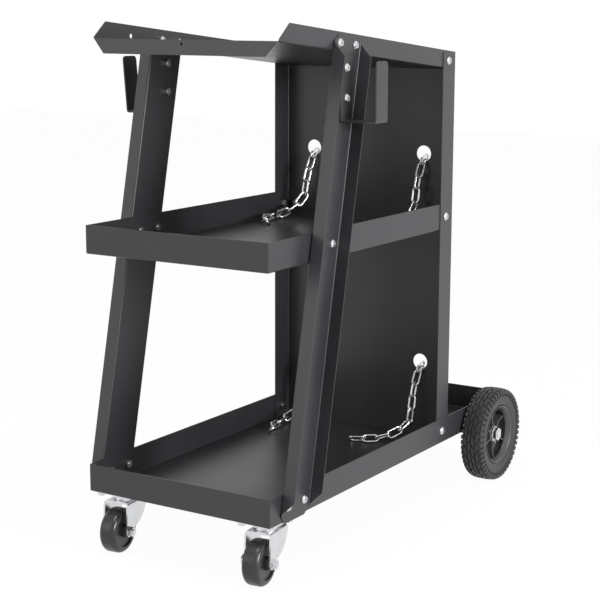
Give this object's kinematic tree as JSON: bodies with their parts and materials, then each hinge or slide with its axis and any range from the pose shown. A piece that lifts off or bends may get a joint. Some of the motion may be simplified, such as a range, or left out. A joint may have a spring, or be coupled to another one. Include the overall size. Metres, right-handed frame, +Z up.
{
  "type": "welding cart",
  "caption": "Steel cart with a sloping top tray, two lower trays, raked front legs, cable hooks, swivel casters, rear wheels and chains for a gas cylinder.",
  "frame": {"origin": "on the ground under the middle of the cart", "axes": "+Z up, +X to the right hand of someone who faces the rear of the cart, +Y towards the rear, where the cylinder stands"},
  "size_m": [0.4269, 0.7204, 0.7424],
  "materials": {
    "powder_coat": "fine matt powder coat",
    "zinc": "bright zinc plate",
    "chain_zinc": "bright zinc plate on round wire",
    "tyre_rubber": "matt black rubber",
    "wheel_rubber": "satin black rubber",
    "dark_plastic": "moulded black plastic"
  },
  "bodies": {
    "root": {"bottom_tray": "powder_coat", "middle_tray": "powder_coat", "top_tray": "powder_coat", "back_panel": "powder_coat", "right_front_leg": "powder_coat", "left_front_leg": "powder_coat", "right_cable_hook": "powder_coat", "left_cable_hook": "powder_coat", "right_axle_bracket": "powder_coat", "left_axle_bracket": "powder_coat", "rear_axle": "zinc", "axle_washers": "zinc", "axle_nuts": "zinc", "leg_bolts": "zinc", "leg_nuts": "zinc", "hook_bolts": "zinc", "hook_nuts": "zinc", "panel_bolts": "zinc", "panel_nuts": "zinc", "caster_bolts": "zinc", "caster_nuts": "zinc", "bracket_bolts": "zinc", "bracket_nuts": "zinc", "axle_spacers": "dark_plastic", "right_caster_plate": "zinc", "right_caster_kingpin": "zinc", "right_caster_balls": "zinc", "left_caster_plate": "zinc", "left_caster_kingpin": "zinc", "left_caster_balls": "zinc", "upper_chain": "chain_zinc", "lower_chain": "chain_zinc"},
    "right_caster_swivel_body": {"right_caster_fork": "zinc", "right_caster_bush": "zinc", "right_caster_axle": "zinc", "right_caster_nut": "zinc"},
    "left_caster_swivel_body": {"left_caster_fork": "zinc", "left_caster_bush": "zinc", "left_caster_axle": "zinc", "left_caster_nut": "zinc"},
    "right_caster_wheel_body": {"right_caster_wheel": "wheel_rubber"},
    "left_caster_wheel_body": {"left_caster_wheel": "wheel_rubber"},
    "right_rear_wheel_body": {"right_rear_tyre": "tyre_rubber", "right_rear_rim": "dark_plastic"},
    "left_rear_wheel_body": {"left_rear_tyre": "tyre_rubber", "left_rear_rim": "dark_plastic"}
  },
  "joints": [
    {"name": "right_caster_swivel", "type": "hinge", "parent": "root", "child": "right_caster_swivel_body", "pos_m": [0.121, -0.309, 0.0745], "axis": [0, 0, 1], "continuous": true},
    {"name": "left_caster_swivel", "type": "hinge", "parent": "root", "child": "left_caster_swivel_body", "pos_m": [-0.121, -0.309, 0.0745], "axis": [0, 0, 1], "continuous": true},
    {"name": "right_caster_spin", "type": "hinge", "parent": "right_caster_swivel_body", "child": "right_caster_wheel_body", "pos_m": [0.12332, -0.32786, 0.032], "axis": [0.9925, 0.1219, 0], "continuous": true},
    {"name": "left_caster_spin", "type": "hinge", "parent": "left_caster_swivel_body", "child": "left_caster_wheel_body", "pos_m": [-0.11868, -0.32786, 0.032], "axis": [0.9925, 0.1219, 0], "continuous": true},
    {"name": "right_rear_spin", "type": "hinge", "parent": "root", "child": "right_rear_wheel_body", "pos_m": [0.174, 0.279, 0.076], "axis": [1, 0, 0], "continuous": true},
    {"name": "left_rear_spin", "type": "hinge", "parent": "root", "child": "left_rear_wheel_body", "pos_m": [-0.174, 0.279, 0.076], "axis": [1, 0, 0], "continuous": true}
  ]
}
